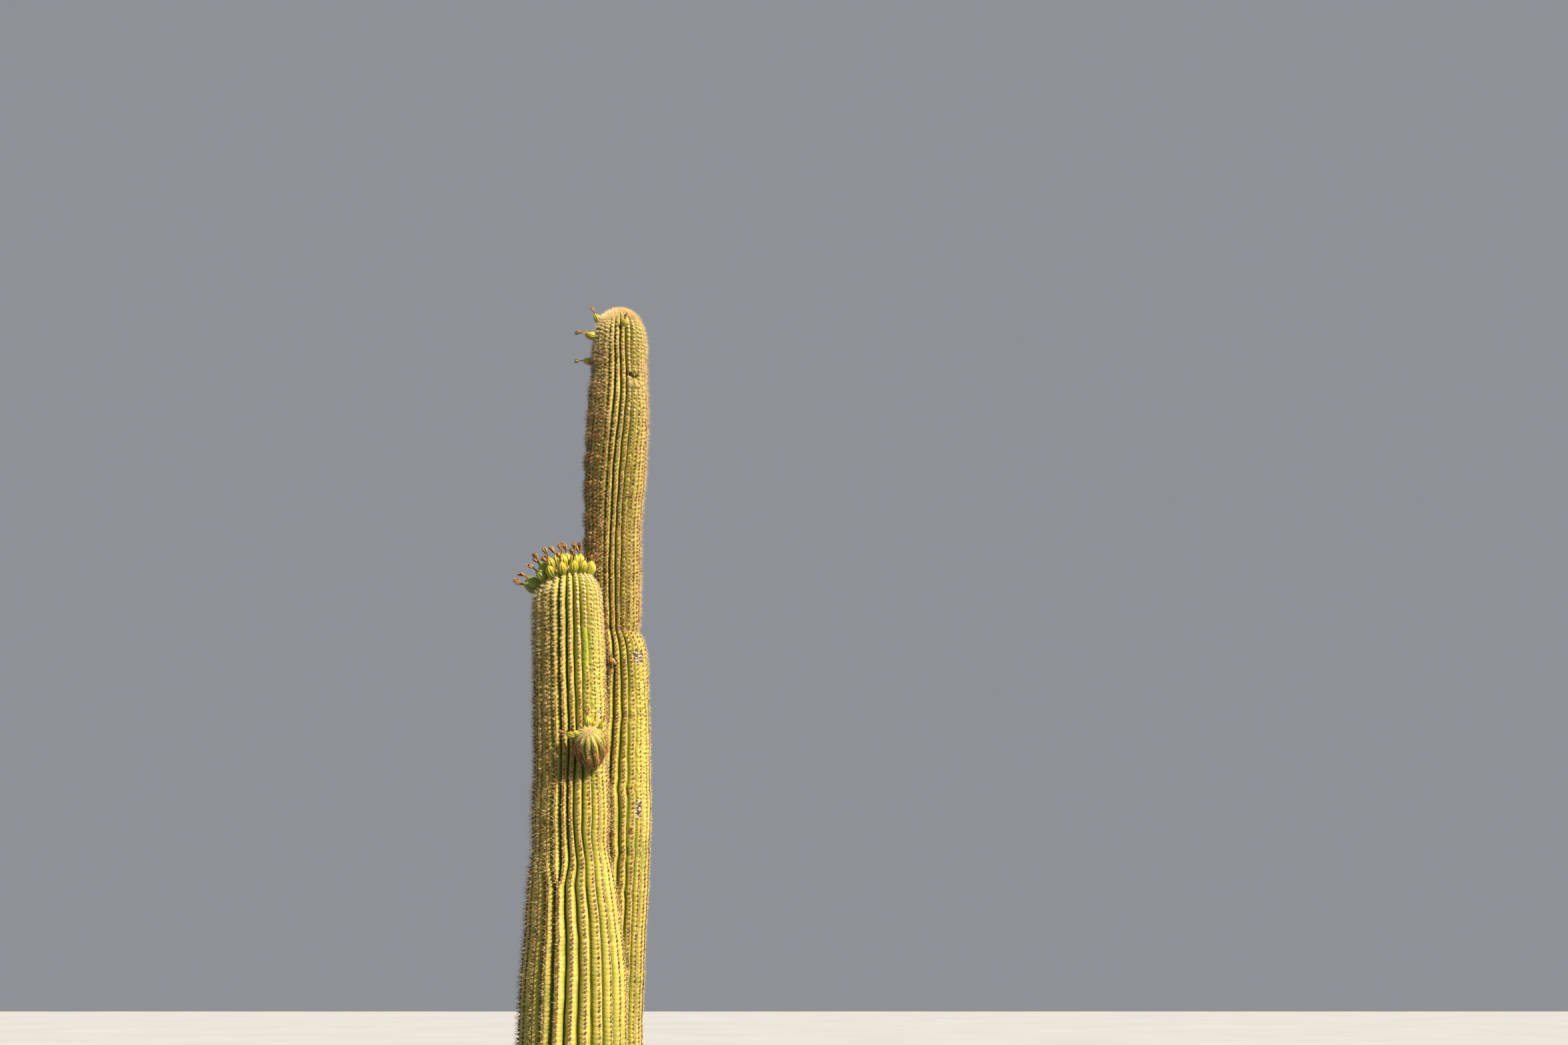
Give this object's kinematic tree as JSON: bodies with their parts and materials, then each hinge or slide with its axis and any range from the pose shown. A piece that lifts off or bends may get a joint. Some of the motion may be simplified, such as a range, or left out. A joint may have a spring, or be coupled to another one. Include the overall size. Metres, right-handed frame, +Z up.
{
  "type": "saguaro cactus",
  "caption": "Tall ribbed column cactus: two stems pressed together from one root, a small round arm, and crowns of green fruit with dry flowers.",
  "frame": {"origin": "centre of the flat cut under the thick front stem, at ground level", "axes": "+Z up along the stems, -Y towards the side that the picture shows, +X to that view's right"},
  "size_m": [0.7016, 0.897, 4.9779],
  "materials": {
    "stem_skin": "satin",
    "arm_skin": "satin",
    "fruit_skin": "satin",
    "spines": "matte",
    "dry_flowers": "matte"
  },
  "bodies": {
    "root": {"front_stem": "stem_skin", "rear_stem": "stem_skin", "small_arm": "arm_skin", "front_fruit_1": "fruit_skin", "front_fruit_2": "fruit_skin", "front_fruit_3": "fruit_skin", "front_fruit_4": "fruit_skin", "front_fruit_5": "fruit_skin", "front_fruit_6": "fruit_skin", "front_fruit_7": "fruit_skin", "front_fruit_8": "fruit_skin", "front_fruit_9": "fruit_skin", "front_fruit_10": "fruit_skin", "front_fruit_11": "fruit_skin", "front_fruit_12": "fruit_skin", "front_fruit_13": "fruit_skin", "front_fruit_14": "fruit_skin", "front_fruit_15": "fruit_skin", "front_fruit_16": "fruit_skin", "front_fruit_17": "fruit_skin", "front_fruit_18": "fruit_skin", "front_fruit_19": "fruit_skin", "front_fruit_20": "fruit_skin", "front_fruit_21": "fruit_skin", "front_fruit_22": "fruit_skin", "front_fruit_23": "fruit_skin", "front_fruit_24": "fruit_skin", "front_fruit_25": "fruit_skin", "front_fruit_26": "fruit_skin", "front_fruit_27": "fruit_skin", "front_fruit_28": "fruit_skin", "front_fruit_29": "fruit_skin", "front_fruit_30": "fruit_skin", "rear_fruit_1": "fruit_skin", "rear_fruit_2": "fruit_skin", "rear_fruit_3": "fruit_skin", "rear_fruit_4": "fruit_skin", "rear_fruit_5": "fruit_skin", "arm_fruit_1": "fruit_skin", "arm_fruit_2": "fruit_skin", "arm_fruit_3": "fruit_skin", "arm_fruit_4": "fruit_skin", "arm_fruit_5": "fruit_skin"}
  },
  "joints": []
}
